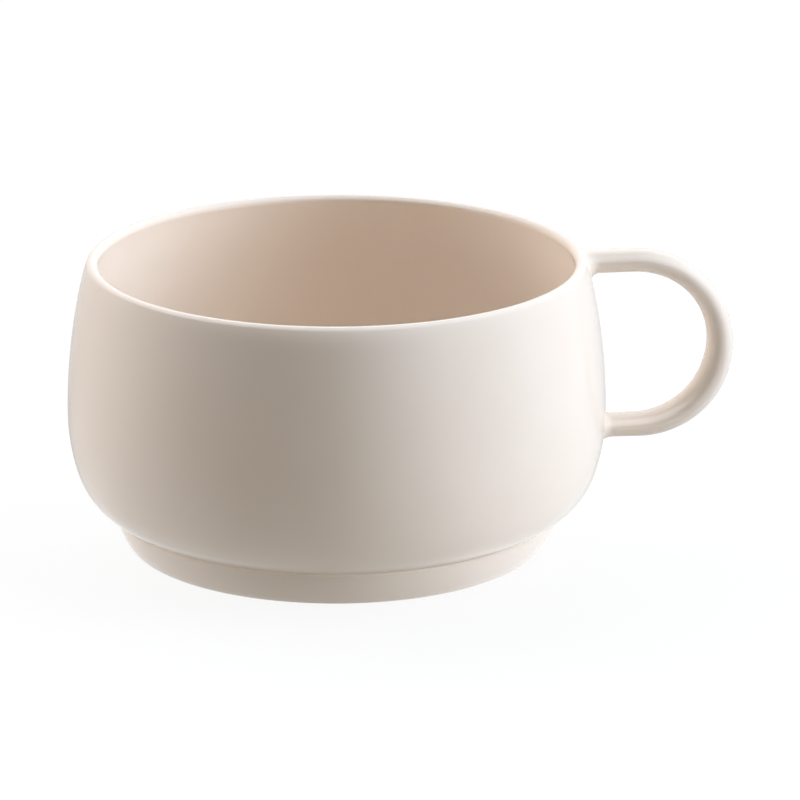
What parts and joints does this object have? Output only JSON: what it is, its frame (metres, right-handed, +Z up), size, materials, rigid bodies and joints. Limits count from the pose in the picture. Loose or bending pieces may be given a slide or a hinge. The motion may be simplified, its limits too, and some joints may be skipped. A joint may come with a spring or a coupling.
{
  "type": "tea cup",
  "caption": "Wide round-bellied glazed tea cup with a thin rounded lip, a narrowing foot ring and an oval-section loop handle luted on with slip.",
  "frame": {"origin": "on the table, under the middle of the whole cup's box, handle included; the bowl's axis stands 12.9 mm from it towards -X", "axes": "+Z up out of the bowl's mouth, +X from the bowl towards the handle, +Y across the handle's loop"},
  "size_m": [0.1308, 0.105, 0.0575],
  "materials": {
    "glaze": "glossy warm off-white glaze",
    "foot_glaze": "the same glaze, wiped off the narrow standing ring, where the clay is bare and matt"
  },
  "bodies": {
    "root": {"bowl": "glaze", "foot_ring": "foot_glaze", "handle": "glaze", "upper_handle_joint": "glaze", "lower_handle_joint": "glaze"}
  },
  "joints": []
}
